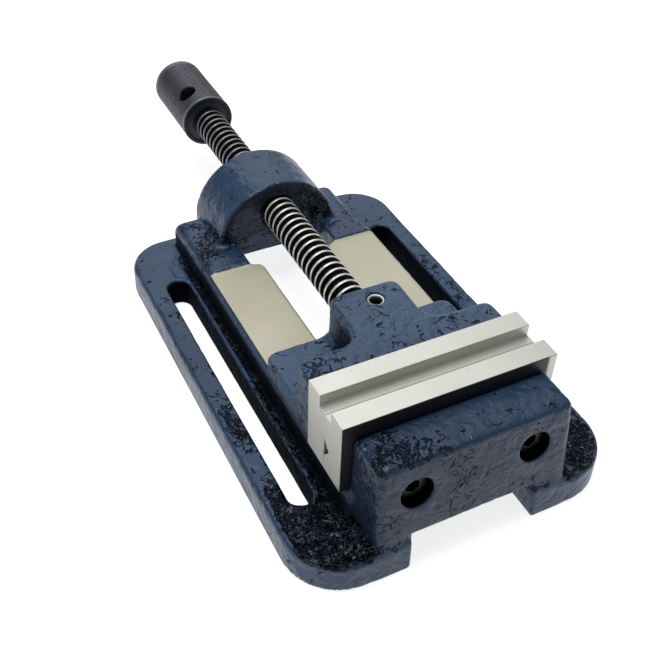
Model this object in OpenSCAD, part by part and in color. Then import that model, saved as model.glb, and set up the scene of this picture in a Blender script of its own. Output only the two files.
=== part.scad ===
// Drill-press machine vise with a fixed jaw, a sliding jaw, a screw spindle and a knurled head.
// X runs across the jaws, Y runs from the fixed jaw towards the knurled head, Z is up.
// Each module is drawn with its Y measured from the plane where the two jaw plates meet.

/* [Base] */
// Overall width of the base across its flanges
base_width = 154; // [140:1:180]
// Thickness of the flanges
flange_height = 15.5; // [10:0.5:18]
// Distance from the jaw plane to the front edge of the base
front_reach = 42; // [40:1:50]
// Distance from the jaw plane to the rear edge of the base
rear_reach = 194; // [190:1:230]
// Radius of the two front corners of the flange
front_corner = 27; // [15:1:35]
// Radius of the two rear corners of the flange
rear_corner = 22; // [12:1:35]

/* [Clamping slots] */
// Width of the two long slots in the flanges
slot_width = 11.8; // [8:0.2:14]
// Distance between the centre lines of the two slots
slot_spacing = 120; // [114:1:126]
// Front end of the slots, from the jaw plane
slot_front = -5; // [-12:1:10]
// Rear end of the slots, from the jaw plane
slot_rear = 156; // [120:1:162]

/* [Ways] */
// Width across the outside of the two rails
rail_width = 97; // [92:0.5:98]
// Chamfer along the top edge of each rail
rail_chamfer = 3.1; // [2:0.1:4]
// Height of the machined ways above the table
way_height = 28.3; // [26:0.1:32]
// Width of the open gap between the ways
gap_width = 36.6; // [30:0.2:40]
// Width of the open gap behind the ways
rear_gap_width = 49; // [40:0.5:52]
// Rear end of the machined ways
way_rear = 137.5; // [130:0.5:150]
// Height that the cast rail stands above the machined ways
rail_step = 1; // [0.5:0.1:2]
// Rear end of the cast rail
rail_rear = 188; // [180:1:190]
// Width of the hollow under the ways
channel_width = 59; // [50:1:62]
// Height of the hollow under the ways
channel_height = 19.5; // [16:0.5:20]

/* [Jaws] */
// Width of the jaw plates
plate_width = 100; // [96:1:110]
// Thickness of each jaw plate
plate_thick = 15; // [13:0.5:16]
// Height of the top of the jaw plates above the table
plate_top = 65.8; // [62:0.2:70]
// Depth of the work ledge cut along the top of each plate
ledge_depth = 5; // [3:0.5:6]
// Height of the work ledge
ledge_height = 5.9; // [4:0.1:8]
// Height of the V groove for round work above the table
groove_height = 41.4; // [38:0.2:44]
// Half of the height of the V groove at the gripping face
groove_half = 5.2; // [4:0.2:6]
// Depth of the V groove
groove_depth = 4.3; // [3:0.1:5]
// Height of the top of the fixed jaw casting
fixed_top = 58.2; // [56:0.2:60]
// Width of the fixed jaw casting at its top
fixed_width = 89.8; // [86:0.2:94]
// Height of the top of the moving jaw casting
moving_top = 60; // [57:0.2:62]
// Width of the moving jaw casting
moving_width = 97; // [92:0.5:99]
// Height of the low wings of the moving jaw
wing_top = 37; // [34:0.5:40]
// Rear end of the bar behind the moving plate
bar_rear = 32.5; // [30:0.5:36]
// Rear end of the moving jaw
moving_rear = 64; // [60:0.5:66]
// Width of the nose that holds the spindle
nose_width = 35; // [30:0.5:38]

/* [Spindle] */
// Height of the spindle axis above the table
axis_height = 42.7; // [40:0.1:44]
// Outside diameter of the trapezoidal thread
thread_dia = 18; // [16:1:18]
// Distance from the jaw plane to the front face of the knurled head
head_front = 258.6; // [250:0.1:270]
// Length of the knurled head
head_length = 52; // [45:1:56]
// Diameter of the knurled head
head_dia = 30.8; // [28:0.2:32]
// Diameter of the cross hole for a turning bar
bar_hole_dia = 10.6; // [8:0.2:11]
// Distance of the cross hole from the rear end of the head
bar_hole_inset = 37; // [20:0.5:37.5]
// Tilt of the cross hole from upright with the jaws closed
bar_hole_tilt = 30; // [0:5:90]

/* [Nut boss] */
// Front face of the boss that holds the thread
boss_front = 156.5; // [154:0.5:160]
// Radius of the arch of the boss
boss_radius = 33.5; // [32:0.5:35]
// Height of the centre of the arch
boss_centre = 25.5; // [25:0.5:27]

/* [Fasteners] */
// Diameter of the jaw plate screws
plate_screw_dia = 8; // [6:1:8]
// Distance between the two screws of a jaw plate
plate_screw_spacing = 55.2; // [50:0.2:60]
// Diameter of the keeper bolts
keeper_bolt_dia = 8; // [6:1:8]
// Diameter of the screw that retains the spindle
retaining_dia = 8; // [6:1:8]
// Distance of the retaining screw to the right of the spindle
retaining_offset = 2.2; // [0:0.1:2.5]

/* [Hidden] */
$fn = 96;

// clearances
slide_gap = 0.1;
running_gap = 0.05;
thread_gap = 0.05;
bolt_gap = 0.5;
cut = 1;

// base
front_y = -front_reach;
casting_front_top = front_y + 6.6;
casting_back = -plate_thick;
jaw_draft = 1.4;
gap_front = 2;
rail_top = way_height + rail_step;
centre_y = -(head_front + head_length - front_reach) / 2;

// jaw plate screws
plate_screw_x = plate_screw_spacing / 2;
screw_r = plate_screw_dia / 2;
screw_head_r = 6.5;
screw_head_height = 8;
screw_socket = 6;
screw_socket_depth = 4;
counterbore_r = 7.2;
fixed_screw_z = 41.5;
moving_screw_z = 46.5;
fixed_seat_y = -25.5;
moving_seat_y = 24;
screw_reach = 8.5;

// moving jaw and its keeper
jaw_floor = way_height + running_gap;
tongue_front = 18;
tongue_rear = 60;
tongue_bottom = channel_height - 0.15;
keeper_length = 44;
keeper_width = channel_width - 5;
keeper_thick = 6.5;
keeper_bottom = tongue_bottom - keeper_thick;
keeper_hole_y = [28, 50];
washer_thick = 2;
washer_r = 6.8;
bolt_r = keeper_bolt_dia / 2;
bolt_head_flats = 13;
bolt_head_height = 5.3;
bolt_reach = 9;
blend_r = 8;

// spindle
thread_r = thread_dia / 2;
spindle_front = 36;
neck_front = 51;
neck_rear = 57;
neck_r = 6.2;
neck_mid = (neck_front + neck_rear) / 2;
disc_front = 33;
disc_rear = spindle_front - slide_gap;
spigot_r = 7;
spigot_length = 8;
head_rear = head_front + head_length;
head_r = head_dia / 2;
head_edge = 2;
bar_hole_y = head_rear - bar_hole_inset;

// retaining screw
retaining_r = retaining_dia / 2;
retaining_top = moving_top - 1;
dog_r = 2.4;
dog_top = axis_height + thread_r + 0.6;
dog_tip = axis_height + neck_r + 0.3;
retaining_socket = 4;

// puts a module that is measured from the jaw plane into the frame of the whole vise
module place() {
    translate([0, centre_y, 0]) children();
}

// a box that is centred on X and runs from one Y to another and from one Z to another
module bar(width, y0, y1, z0, z1) {
    translate([-width / 2, y0, z0]) cube([width, y1 - y0, z1 - z0]);
}

// a cylinder along Y from y0 to y1
module along_y(radius, y0, y1, x = 0, z = axis_height, sides = $fn) {
    translate([x, y0, z]) rotate([-90, 0, 0]) cylinder(r = radius, h = y1 - y0, $fn = sides);
}

// a hexagonal prism along Z with a given size across its flats
module hexagon(flats, height) {
    cylinder(d = flats / cos(30), h = height, $fn = 6);
}

// a profile drawn in Y and Z, extruded across X about the middle
module across(width) {
    translate([-width / 2, 0, 0]) rotate([90, 0, 90]) linear_extrude(width) children();
}

// a profile drawn in X and Z, extruded along Y from y0 to y1
module lengthwise(y0, y1) {
    translate([0, y1, 0]) rotate([90, 0, 0]) linear_extrude(y1 - y0) children();
}

// a symmetric trapezium from z0 to z1, for a drafted casting
module trapezium(low_width, high_width, z0, z1) {
    polygon([
        [-low_width / 2, z0], [low_width / 2, z0],
        [high_width / 2, z1], [-high_width / 2, z1]
    ]);
}

// a round-ended slot along Y, cut right through the flange
module slot(x) {
    r = slot_width / 2;
    translate([x, 0, -cut]) linear_extrude(flange_height + 2 * cut) {
        translate([-r, slot_front + r]) square([slot_width, slot_rear - slot_front - slot_width]);
        translate([0, slot_front + r]) circle(r);
        translate([0, slot_rear - r]) circle(r);
    }
}

// plan outline of the base with its four rounded corners
module base_outline() {
    half = base_width / 2;
    translate([-half, front_y + front_corner])
        square([base_width, rear_reach - front_y - front_corner - rear_corner]);
    translate([-half + front_corner, front_y]) square([base_width - 2 * front_corner, front_corner]);
    translate([-half + rear_corner, rear_reach - rear_corner])
        square([base_width - 2 * rear_corner, rear_corner]);
    for (side = [-1, 1]) {
        translate([side * (half - front_corner), front_y + front_corner]) circle(front_corner);
        translate([side * (half - rear_corner), rear_reach - rear_corner]) circle(rear_corner);
    }
}

// the upright block of the fixed jaw, sloped at its front and drafted at its sides
module fixed_jaw_block() {
    intersection() {
        across(base_width) polygon([
            [front_y, 0], [casting_back, 0], [casting_back, fixed_top],
            [casting_front_top, fixed_top]
        ]);
        lengthwise(front_y, casting_back)
            trapezium(fixed_width + 2 * jaw_draft, fixed_width, 0, fixed_top);
    }
}

// the arch that holds the spindle's thread
module nut_boss() {
    bar(2 * boss_radius, boss_front, rear_reach, 0, boss_centre);
    intersection() {
        along_y(boss_radius, boss_front, rear_reach, 0, boss_centre);
        bar(base_width, boss_front, rear_reach, boss_centre, boss_centre + boss_radius + cut);
    }
}

// the opening between the ways, which is wider from their rear ends to the boss
module way_gap() {
    translate([0, 0, -cut]) linear_extrude(rail_top + 2 * cut) {
        translate([-gap_width / 2, gap_front]) square([gap_width, way_rear - gap_front + cut]);
        translate([-rear_gap_width / 2, way_rear]) square([rear_gap_width, boss_front - way_rear]);
    }
}

// section through both rails, with a chamfer along each top edge
module rail_section() {
    half = rail_width / 2;
    shoulder = rail_top - rail_chamfer;
    polygon([[-half, 0], [half, 0], [half, shoulder], [half - rail_chamfer, rail_top],
             [rail_chamfer - half, rail_top], [-half, shoulder]]);
}

module base() {
    color([0.24, 0.31, 0.39]) difference() {
        union() {
            linear_extrude(flange_height) base_outline();
            lengthwise(front_y + 10, rail_rear) rail_section();
            fixed_jaw_block();
            nut_boss();
        }
        bar(base_width, casting_back, way_rear, way_height, rail_top + cut);
        bar(channel_width, front_y - cut, rear_reach + cut, -cut, channel_height);
        way_gap();
        for (side = [-1, 1]) {
            slot(side * slot_spacing / 2);
            along_y(counterbore_r, front_y - cut, fixed_seat_y, side * plate_screw_x, fixed_screw_z);
            along_y(screw_r + bolt_gap, fixed_seat_y - cut, casting_back + cut,
                    side * plate_screw_x, fixed_screw_z);
        }
        along_y(thread_r + running_gap, boss_front - cut, rear_reach + cut);
    }
}

// a jaw plate with its gripping face at Y = 0 and its body towards negative Y
module plate_blank() {
    across(plate_width) polygon([
        [0, jaw_floor + slide_gap], [0, plate_top - ledge_height],
        [-ledge_depth, plate_top - ledge_height], [-ledge_depth, plate_top],
        [-plate_thick, plate_top], [-plate_thick, jaw_floor + slide_gap]
    ]);
}

module fixed_jaw_plate() {
    color([0.78, 0.78, 0.76]) difference() {
        plate_blank();
        across(plate_width + 2 * cut) polygon([
            [-groove_depth, groove_height],
            [cut, groove_height + groove_half * (1 + cut / groove_depth)],
            [cut, groove_height - groove_half * (1 + cut / groove_depth)]
        ]);
        for (side = [-1, 1])
            along_y(screw_r + thread_gap, -plate_thick - cut, -plate_thick + screw_reach + 0.4,
                    side * plate_screw_x, fixed_screw_z);
    }
}

module moving_jaw_plate() {
    color([0.78, 0.78, 0.76]) difference() {
        mirror([0, 1, 0]) plate_blank();
        for (side = [-1, 1])
            along_y(screw_r + thread_gap, plate_thick - screw_reach - 0.4, plate_thick + cut,
                    side * plate_screw_x, moving_screw_z);
    }
}

// socket cap screw along +Y, with its head seat at Y = 0 and its shank ahead of it
module cap_screw(shank) {
    color([0.12, 0.12, 0.13]) difference() {
        union() {
            along_y(screw_head_r, -screw_head_height, 0, 0, 0);
            along_y(screw_r, -cut, shank, 0, 0);
        }
        translate([0, -screw_head_height - cut, 0]) rotate([-90, 0, 0])
            hexagon(screw_socket, screw_socket_depth + cut);
    }
}

module fixed_plate_screw(side) {
    translate([side * plate_screw_x, fixed_seat_y, fixed_screw_z])
        cap_screw(casting_back - fixed_seat_y + screw_reach);
}

module moving_plate_screw(side) {
    translate([side * plate_screw_x, moving_seat_y, moving_screw_z]) rotate([0, 0, 180])
        cap_screw(moving_seat_y - plate_thick + screw_reach);
}

// plan outline of the raised part of the moving jaw: the bar and the nose, with a blend between them
module raised_outline() {
    half = nose_width / 2;
    translate([-moving_width / 2, plate_thick]) square([moving_width, bar_rear - plate_thick]);
    translate([-half, plate_thick]) square([nose_width, moving_rear - plate_thick]);
    for (side = [-1, 1]) difference() {
        translate([side * (half + blend_r / 2), bar_rear + blend_r / 2])
            square([blend_r, blend_r], center = true);
        translate([side * (half + blend_r), bar_rear + blend_r]) circle(blend_r);
    }
}

module moving_jaw() {
    color([0.26, 0.34, 0.43]) difference() {
        union() {
            translate([0, 0, jaw_floor]) linear_extrude(moving_top - jaw_floor) raised_outline();
            bar(moving_width, plate_thick, moving_rear, jaw_floor, wing_top);
            bar(gap_width - 2 * slide_gap, tongue_front, tongue_rear, tongue_bottom, jaw_floor + cut);
        }
        along_y(thread_r + running_gap, disc_front, moving_rear + cut);
        translate([retaining_offset, neck_mid, axis_height])
            cylinder(r = retaining_r + thread_gap, h = moving_top);
        for (side = [-1, 1]) {
            along_y(counterbore_r, moving_seat_y, bar_rear + cut, side * plate_screw_x, moving_screw_z);
            along_y(screw_r + bolt_gap, plate_thick - cut, moving_seat_y + cut,
                    side * plate_screw_x, moving_screw_z);
        }
        for (y = keeper_hole_y) translate([0, y, tongue_bottom - cut])
            cylinder(r = bolt_r + thread_gap, h = bolt_reach + cut + 0.5);
    }
}

module keeper_plate() {
    middle = (tongue_front + tongue_rear) / 2;
    color([0.35, 0.36, 0.38]) difference() {
        bar(keeper_width, middle - keeper_length / 2, middle + keeper_length / 2,
            keeper_bottom, tongue_bottom);
        for (y = keeper_hole_y) translate([0, y, keeper_bottom - cut])
            cylinder(r = bolt_r + bolt_gap, h = keeper_thick + 2 * cut);
    }
}

module keeper_washer(y) {
    color([0.55, 0.56, 0.58]) translate([0, y, keeper_bottom - washer_thick]) difference() {
        cylinder(r = washer_r, h = washer_thick);
        translate([0, 0, -cut]) cylinder(r = bolt_r + bolt_gap, h = washer_thick + 2 * cut);
    }
}

module keeper_bolt(y) {
    seat = keeper_bottom - washer_thick;
    color([0.2, 0.2, 0.22]) translate([0, y, 0]) {
        translate([0, 0, seat - bolt_head_height]) hexagon(bolt_head_flats, bolt_head_height);
        translate([0, 0, seat - cut]) cylinder(r = bolt_r, h = tongue_bottom - seat + bolt_reach + cut);
    }
}

module retaining_screw() {
    color([0.5, 0.5, 0.52]) translate([retaining_offset, neck_mid, 0]) difference() {
        union() {
            translate([0, 0, dog_top]) cylinder(r = retaining_r, h = retaining_top - dog_top);
            translate([0, 0, dog_tip]) cylinder(r = dog_r, h = dog_top - dog_tip + cut);
        }
        translate([0, 0, retaining_top - retaining_socket]) hexagon(retaining_socket, retaining_socket + cut);
    }
}

module thrust_disc() {
    color([0.6, 0.6, 0.62]) along_y(thread_r, disc_front, disc_rear);
}

module spindle() {
    color([0.2, 0.2, 0.21]) translate([0, 0, axis_height]) rotate([-90, 0, 0]) rotate_extrude() polygon([
        [0, spindle_front], [thread_r, spindle_front],
        [thread_r, neck_front], [neck_r, neck_front],
        [neck_r, neck_rear], [thread_r, neck_rear],
        [thread_r, head_front], [spigot_r, head_front],
        [spigot_r, head_front + spigot_length], [0, head_front + spigot_length]
    ]);
}

module spindle_head() {
    color([0.26, 0.26, 0.3]) difference() {
        translate([0, 0, axis_height]) rotate([-90, 0, 0]) rotate_extrude() polygon([
            [0, head_front], [head_r - head_edge, head_front], [head_r, head_front + head_edge],
            [head_r, head_rear - head_edge], [head_r - head_edge, head_rear], [0, head_rear]
        ]);
        along_y(spigot_r + 0.02, head_front - cut, head_front + spigot_length + 0.5);
        translate([0, bar_hole_y, axis_height]) rotate([0, -bar_hole_tilt, 0])
            cylinder(d = bar_hole_dia, h = 2 * head_dia, center = true);
    }
}

place() base();
place() moving_jaw();
place() fixed_jaw_plate();
place() moving_jaw_plate();
place() fixed_plate_screw(-1);  // fixed_plate_screw_left
place() fixed_plate_screw(1);  // fixed_plate_screw_right
place() moving_plate_screw(-1);  // moving_plate_screw_left
place() moving_plate_screw(1);  // moving_plate_screw_right
place() keeper_plate();
place() keeper_bolt(keeper_hole_y[0]);  // keeper_bolt_front
place() keeper_bolt(keeper_hole_y[1]);  // keeper_bolt_rear
place() keeper_washer(keeper_hole_y[0]);  // keeper_washer_front
place() keeper_washer(keeper_hole_y[1]);  // keeper_washer_rear
place() retaining_screw();
place() thrust_disc();
place() spindle();
place() spindle_head();
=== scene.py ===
"""A drill-press machine vise: painted castings, ground jaw plates, a threaded spindle and a knurled head.

Shapes are worked out in millimetres in the vise's own measure: X across the jaws, Y from the plane
where the two jaw plates meet towards the knurled head, and Z up from the table. Vise.to_row turns
that measure into the frame's metres.
"""
import logging
import math
from collections.abc import Callable, Sequence
from dataclasses import dataclass
from enum import Enum

import bpy
import numpy as np
from mathutils import Matrix, Vector


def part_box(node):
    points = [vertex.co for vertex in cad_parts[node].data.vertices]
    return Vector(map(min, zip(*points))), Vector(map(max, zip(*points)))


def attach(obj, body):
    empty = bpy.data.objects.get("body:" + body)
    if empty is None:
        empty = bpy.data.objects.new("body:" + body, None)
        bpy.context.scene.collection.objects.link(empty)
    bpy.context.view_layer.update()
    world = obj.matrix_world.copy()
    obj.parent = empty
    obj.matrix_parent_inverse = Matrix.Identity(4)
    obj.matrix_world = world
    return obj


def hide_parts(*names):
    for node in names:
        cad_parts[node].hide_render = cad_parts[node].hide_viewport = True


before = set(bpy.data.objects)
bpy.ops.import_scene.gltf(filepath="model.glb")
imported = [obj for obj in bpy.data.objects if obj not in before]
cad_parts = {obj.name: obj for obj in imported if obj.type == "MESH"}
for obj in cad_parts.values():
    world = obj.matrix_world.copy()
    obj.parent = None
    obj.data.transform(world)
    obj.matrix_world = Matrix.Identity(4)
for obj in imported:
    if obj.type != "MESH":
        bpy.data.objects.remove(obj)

log = logging.getLogger("vise")

MM = 0.001
MARGIN = 1.37
BATCH = 400_000
UP = (0.0, 0.0, 1.0)
Colour = tuple[float, float, float]
Field = Callable[[np.ndarray], np.ndarray]


class Slot(Enum):
    """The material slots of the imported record."""

    CASTING = "casting"
    MOVING_CASTING = "moving_casting"
    JAW_STEEL = "jaw_steel"
    BLACK_SCREWS = "black_screws"
    BRIGHT_FASTENERS = "bright_fasteners"
    KEEPER_STEEL = "keeper_steel"
    SPINDLE_STEEL = "spindle_steel"
    HEAD_STEEL = "head_steel"


class Body(Enum):
    """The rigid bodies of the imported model."""

    BASE = "base"
    MOVING_JAW = "moving_jaw"
    SPINDLE = "spindle"


# ---------------------------------------------------------------------------
# Shapes as distance fields
# ---------------------------------------------------------------------------


def soft_min(a: np.ndarray, b: np.ndarray, k: float) -> np.ndarray:
    """Joins two solids with a fillet.

    The result is the smaller value, lowered by k/4 where the two are equal, fading out over k.

    Args:
        a: Distances to the first solid.
        b: Distances to the second solid.
        k: Width of the fillet in millimetres.

    Returns:
        Distances to the joined solid.
    """
    h = np.clip(0.5 + 0.5 * (b - a) / k, 0.0, 1.0)
    return b + (a - b) * h - k * h * (1.0 - h)


def soft_max(a: np.ndarray, b: np.ndarray, k: float) -> np.ndarray:
    """Keeps what two solids share, with the edge between them rounded over k millimetres."""
    return -soft_min(-a, -b, k)


def carve(solid: np.ndarray, tool: np.ndarray, k: float) -> np.ndarray:
    """Takes a tool's shape out of a solid and rounds the rim over k millimetres."""
    return soft_max(solid, -tool, k)


def slab(v: np.ndarray, low: float, high: float) -> np.ndarray:
    """Distance to the space between two parallel planes, along one coordinate."""
    return np.abs(v - 0.5 * (low + high)) - 0.5 * (high - low)


def rod(u: np.ndarray, v: np.ndarray, radius: float) -> np.ndarray:
    """Distance to an endless round rod, from the two coordinates across it."""
    return np.hypot(u, v) - radius


def rounded_plan(x: np.ndarray, y: np.ndarray, half: float, y0: float, y1: float,
                 front_r: float, rear_r: float) -> np.ndarray:
    """Distance to a rectangle whose front and rear corners have their own radii.

    Args:
        x: Positions across.
        y: Positions along.
        half: Half of the width.
        y0: Front edge.
        y1: Rear edge.
        front_r: Radius of the front corners.
        rear_r: Radius of the rear corners.

    Returns:
        The distance in the plane, negative inside.
    """
    middle = 0.5 * (y0 + y1)
    r = np.where(y < middle, front_r, rear_r)
    qx = np.abs(x) - half + r
    qy = np.abs(y - middle) - 0.5 * (y1 - y0) + r
    outside = np.hypot(np.maximum(qx, 0.0), np.maximum(qy, 0.0))
    return np.minimum(np.maximum(qx, qy), 0.0) + outside - r


def capsule_plan(x: np.ndarray, y: np.ndarray, x0: float, y0: float, y1: float, r: float) -> np.ndarray:
    """Distance in plan to a round-ended slot of half-width r that runs along Y from y0 to y1."""
    along = np.clip(y, y0 + r, y1 - r)
    return np.hypot(x - x0, y - along) - r


def value_noise(p: np.ndarray, cell: float, seed: int) -> np.ndarray:
    """Smooth random values from 0 to 1 that repeat every 32 cells.

    Each corner of a cubic lattice has a random value, and a point's value is a smoothed
    blend of the eight corners around it.

    Args:
        p: Points, one row each.
        cell: Size of a lattice cell in millimetres.
        seed: Seed of the random lattice.

    Returns:
        One value for each point.
    """
    size = 32
    lattice = np.random.default_rng(seed).random((size, size, size))
    q = p / cell
    base = np.floor(q).astype(int)
    t = q - base
    t = t * t * (3.0 - 2.0 * t)
    total = np.zeros(len(p))
    for corner in np.ndindex(2, 2, 2):
        index = (base + corner) % size
        weight = np.prod(np.where(np.array(corner) == 1, t, 1.0 - t), axis=1)
        total += weight * lattice[index[:, 0], index[:, 1], index[:, 2]]
    return total


def smooth_step(v: np.ndarray, low: float, high: float) -> np.ndarray:
    """Rises from 0 at low to 1 at high along a smooth curve."""
    t = np.clip((v - low) / (high - low), 0.0, 1.0)
    return t * t * (3.0 - 2.0 * t)


def gradient(field: Field, p: np.ndarray, reach: float = 0.05) -> np.ndarray:
    """The field's slope at each point, from small steps both ways along X, Y and Z."""
    steps = reach * np.eye(3)
    return np.stack([(field(p + step) - field(p - step)) / (2.0 * reach) for step in steps], axis=1)


@dataclass(frozen=True)
class Net:
    """A closed surface: points, and quadrilaterals as rows of four point numbers."""

    points: np.ndarray
    quads: np.ndarray


def surface_net(field: Field, low: Sequence[float], high: Sequence[float], step: float) -> Net:
    """Wraps a surface around a distance field.

    The space is cut into cubes. Each cube that the surface crosses gets one point, the mean of the
    crossings on its twelve edges, and each grid edge that the surface crosses gets one face between
    the four cubes around it. The points are then slid along the field's slope onto the surface. The
    grid starts MARGIN cubes outside the space, so that no flat face lies in one of its planes, and
    the field is read for about BATCH points at a time.

    Args:
        field: Distance field, negative inside.
        low: Lowest corner of the space.
        high: Highest corner of the space.
        step: Size of a cube.

    Returns:
        The wrapped surface, with its faces turned outwards.
    """
    start = np.array(low, float) - MARGIN * step
    count = np.ceil((np.array(high, float) + MARGIN * step - start) / step).astype(int) + 1
    axes = [start[i] + step * np.arange(count[i]) for i in range(3)]
    layers = []
    for x in np.array_split(axes[0], max(1, int(count.prod() // BATCH))):
        mesh = np.stack(np.meshgrid(x, axes[1], axes[2], indexing="ij"), axis=-1)
        layers.append(field(mesh.reshape(-1, 3)).reshape(mesh.shape[:3]))
    value = np.concatenate(layers, axis=0)
    inside = value < 0.0
    corners = list(np.ndindex(2, 2, 2))
    cut = [inside[i:count[0] - 1 + i, j:count[1] - 1 + j, k:count[2] - 1 + k] for i, j, k in corners]
    filled = np.sum(cut, axis=0)
    cell = np.argwhere((filled > 0) & (filled < 8))
    number = np.full(filled.shape, -1, np.int64)
    number[tuple(cell.T)] = np.arange(len(cell))
    total = np.zeros((len(cell), 3))
    hits = np.zeros(len(cell))
    for axis in range(3):
        for a, b in np.ndindex(2, 2):
            first = np.insert([a, b], axis, 0)
            second = np.insert([a, b], axis, 1)
            v0 = value[tuple((cell + first).T)]
            v1 = value[tuple((cell + second).T)]
            crossed = (v0 < 0.0) != (v1 < 0.0)
            t = np.where(crossed, v0 / np.where(crossed, v0 - v1, 1.0), 0.0)
            place = cell + first + t[:, None] * np.eye(3)[axis]
            total += np.where(crossed[:, None], place, 0.0)
            hits += crossed
    points = start + step * total / hits[:, None]
    quads = []
    for axis in range(3):
        one, two = (axis + 1) % 3, (axis + 2) % 3
        ahead = np.roll(inside, -1, axis=axis)
        crossing = inside != ahead
        crossing[tuple(slice(-1, None) if i == axis else slice(None) for i in range(3))] = False
        node = np.argwhere(crossing)
        node = node[(node[:, one] > 0) & (node[:, two] > 0)]
        ring = []
        for a, b in ((1, 1), (0, 1), (0, 0), (1, 0)):
            index = node.copy()
            index[:, one] -= a
            index[:, two] -= b
            ring.append(number[tuple(index.T)])
        face = np.stack(ring, axis=1)
        leaving = inside[tuple(node.T)]
        quads.append(np.where(leaving[:, None], face, face[:, ::-1]))
    for _ in range(4):
        slope = gradient(field, points)
        move = field(points)[:, None] * slope / np.maximum(np.sum(slope * slope, axis=1), 0.2)[:, None]
        points = points - np.clip(move, -0.5 * step, 0.5 * step)
    return Net(points, np.concatenate(quads))


# ---------------------------------------------------------------------------
# Meshes
# ---------------------------------------------------------------------------


def add_object(name: str, data: bpy.types.ID) -> bpy.types.Object:
    """Puts a mesh, a light or a camera into the scene as a new object."""
    made = bpy.data.objects.new(name, data)
    bpy.context.scene.collection.objects.link(made)
    return made


def add_piece(name: str, points: np.ndarray, *faces: np.ndarray,
              smooth_angle: float = 180.0) -> bpy.types.Object:
    """Makes an object from points in millimetres of the vise's own measure.

    Args:
        name: Name of the object.
        points: Points, one row each.
        *faces: Groups of faces. A face is a row of point numbers, and the faces of a group have
            the same number of corners.
        smooth_angle: Edges sharper than this many degrees stay crisp.

    Returns:
        The new object, at the origin, with its place in its mesh.
    """
    corners = np.concatenate([group.ravel() for group in faces])
    counts = np.concatenate([np.full(len(group), group.shape[1]) for group in faces])
    mesh = bpy.data.meshes.new(name)
    mesh.vertices.add(len(points))
    mesh.vertices.foreach_set("co", VISE.to_row(points).astype(np.float32).ravel())
    mesh.loops.add(len(corners))
    mesh.loops.foreach_set("vertex_index", corners.astype(np.int32))
    mesh.polygons.add(len(counts))
    mesh.polygons.foreach_set("loop_start", (np.cumsum(counts) - counts).astype(np.int32))
    mesh.update(calc_edges=True)
    mesh.validate()
    mesh.shade_smooth()
    if smooth_angle < 180.0:
        mesh.set_sharp_from_angle(angle=math.radians(smooth_angle))
    return add_object(name, mesh)


def wrap_grid(rows: int, columns: int) -> np.ndarray:
    """Faces of a grid of points that is closed round its columns and open at both end rows."""
    row, column = np.meshgrid(np.arange(rows - 1), np.arange(columns), indexing="ij")
    here = row * columns + column
    right = row * columns + (column + 1) % columns
    return np.stack([here, right, right + columns, here + columns], axis=-1).reshape(-1, 4)


def tube_piece(name: str, rings: np.ndarray, smooth_angle: float = 180.0) -> bpy.types.Object:
    """Makes a closed piece from rings of points, with a pole added at each end.

    Args:
        name: Name of the object.
        rings: Array of rings by points by 3. Its rings run so that the faces turn outwards.
        smooth_angle: Edges sharper than this many degrees stay crisp.

    Returns:
        The new object.
    """
    rows, columns = rings.shape[:2]
    points = np.concatenate([rings.reshape(-1, 3), rings[[0, -1]].mean(axis=1)])
    first, last = rows * columns, rows * columns + 1
    around = np.arange(columns)
    ahead = (around + 1) % columns
    top = (rows - 1) * columns
    first_cap = np.stack([np.full(columns, first), ahead, around], axis=1)
    last_cap = np.stack([np.full(columns, last), top + around, top + ahead], axis=1)
    sides = wrap_grid(rows, columns)
    return add_piece(name, points, sides, first_cap, last_cap, smooth_angle=smooth_angle)


@dataclass(frozen=True)
class Ring:
    """One ring of a turned piece: its radius or half-flats, its place along the axis, its shape."""

    radius: float
    along: float
    hexagonal: bool = False


def turned_piece(name: str, rings: Sequence[Ring], origin: Sequence[float], axis: Sequence[float],
                 segments: int = 72) -> bpy.types.Object:
    """Makes a turned piece whose rings are circles or hexagons.

    A point of a ring stands at radius r(t) from the axis, where t is the angle round it: a constant
    on a round ring, and the half-flats over the cosine of the angle from the nearest flat on a
    hexagonal one.

    Args:
        name: Name of the object.
        rings: Rings in order along the outline, so that the axis and the outline turn outwards.
        origin: Where the axis starts.
        axis: Direction of the axis.
        segments: Points in a ring, a multiple of six.

    Returns:
        The new object.
    """
    along = np.array(axis, float) / np.linalg.norm(axis)
    helper = np.array([1.0, 0.0, 0.0]) if abs(along[0]) < 0.9 else np.array([0.0, 0.0, 1.0])
    side = np.cross(along, helper)
    side /= np.linalg.norm(side)
    other = np.cross(along, side)
    t = 2.0 * math.pi * np.arange(segments) / segments
    from_flat = np.mod(t, math.pi / 3.0) - math.pi / 6.0
    around = np.cos(t)[:, None] * side + np.sin(t)[:, None] * other
    layers = []
    for ring in rings:
        reach = ring.radius / np.cos(from_flat) if ring.hexagonal else np.full(segments, ring.radius)
        layers.append(np.array(origin, float) + ring.along * along + reach[:, None] * around)
    return tube_piece(name, np.stack(layers), smooth_angle=35.0)


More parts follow.
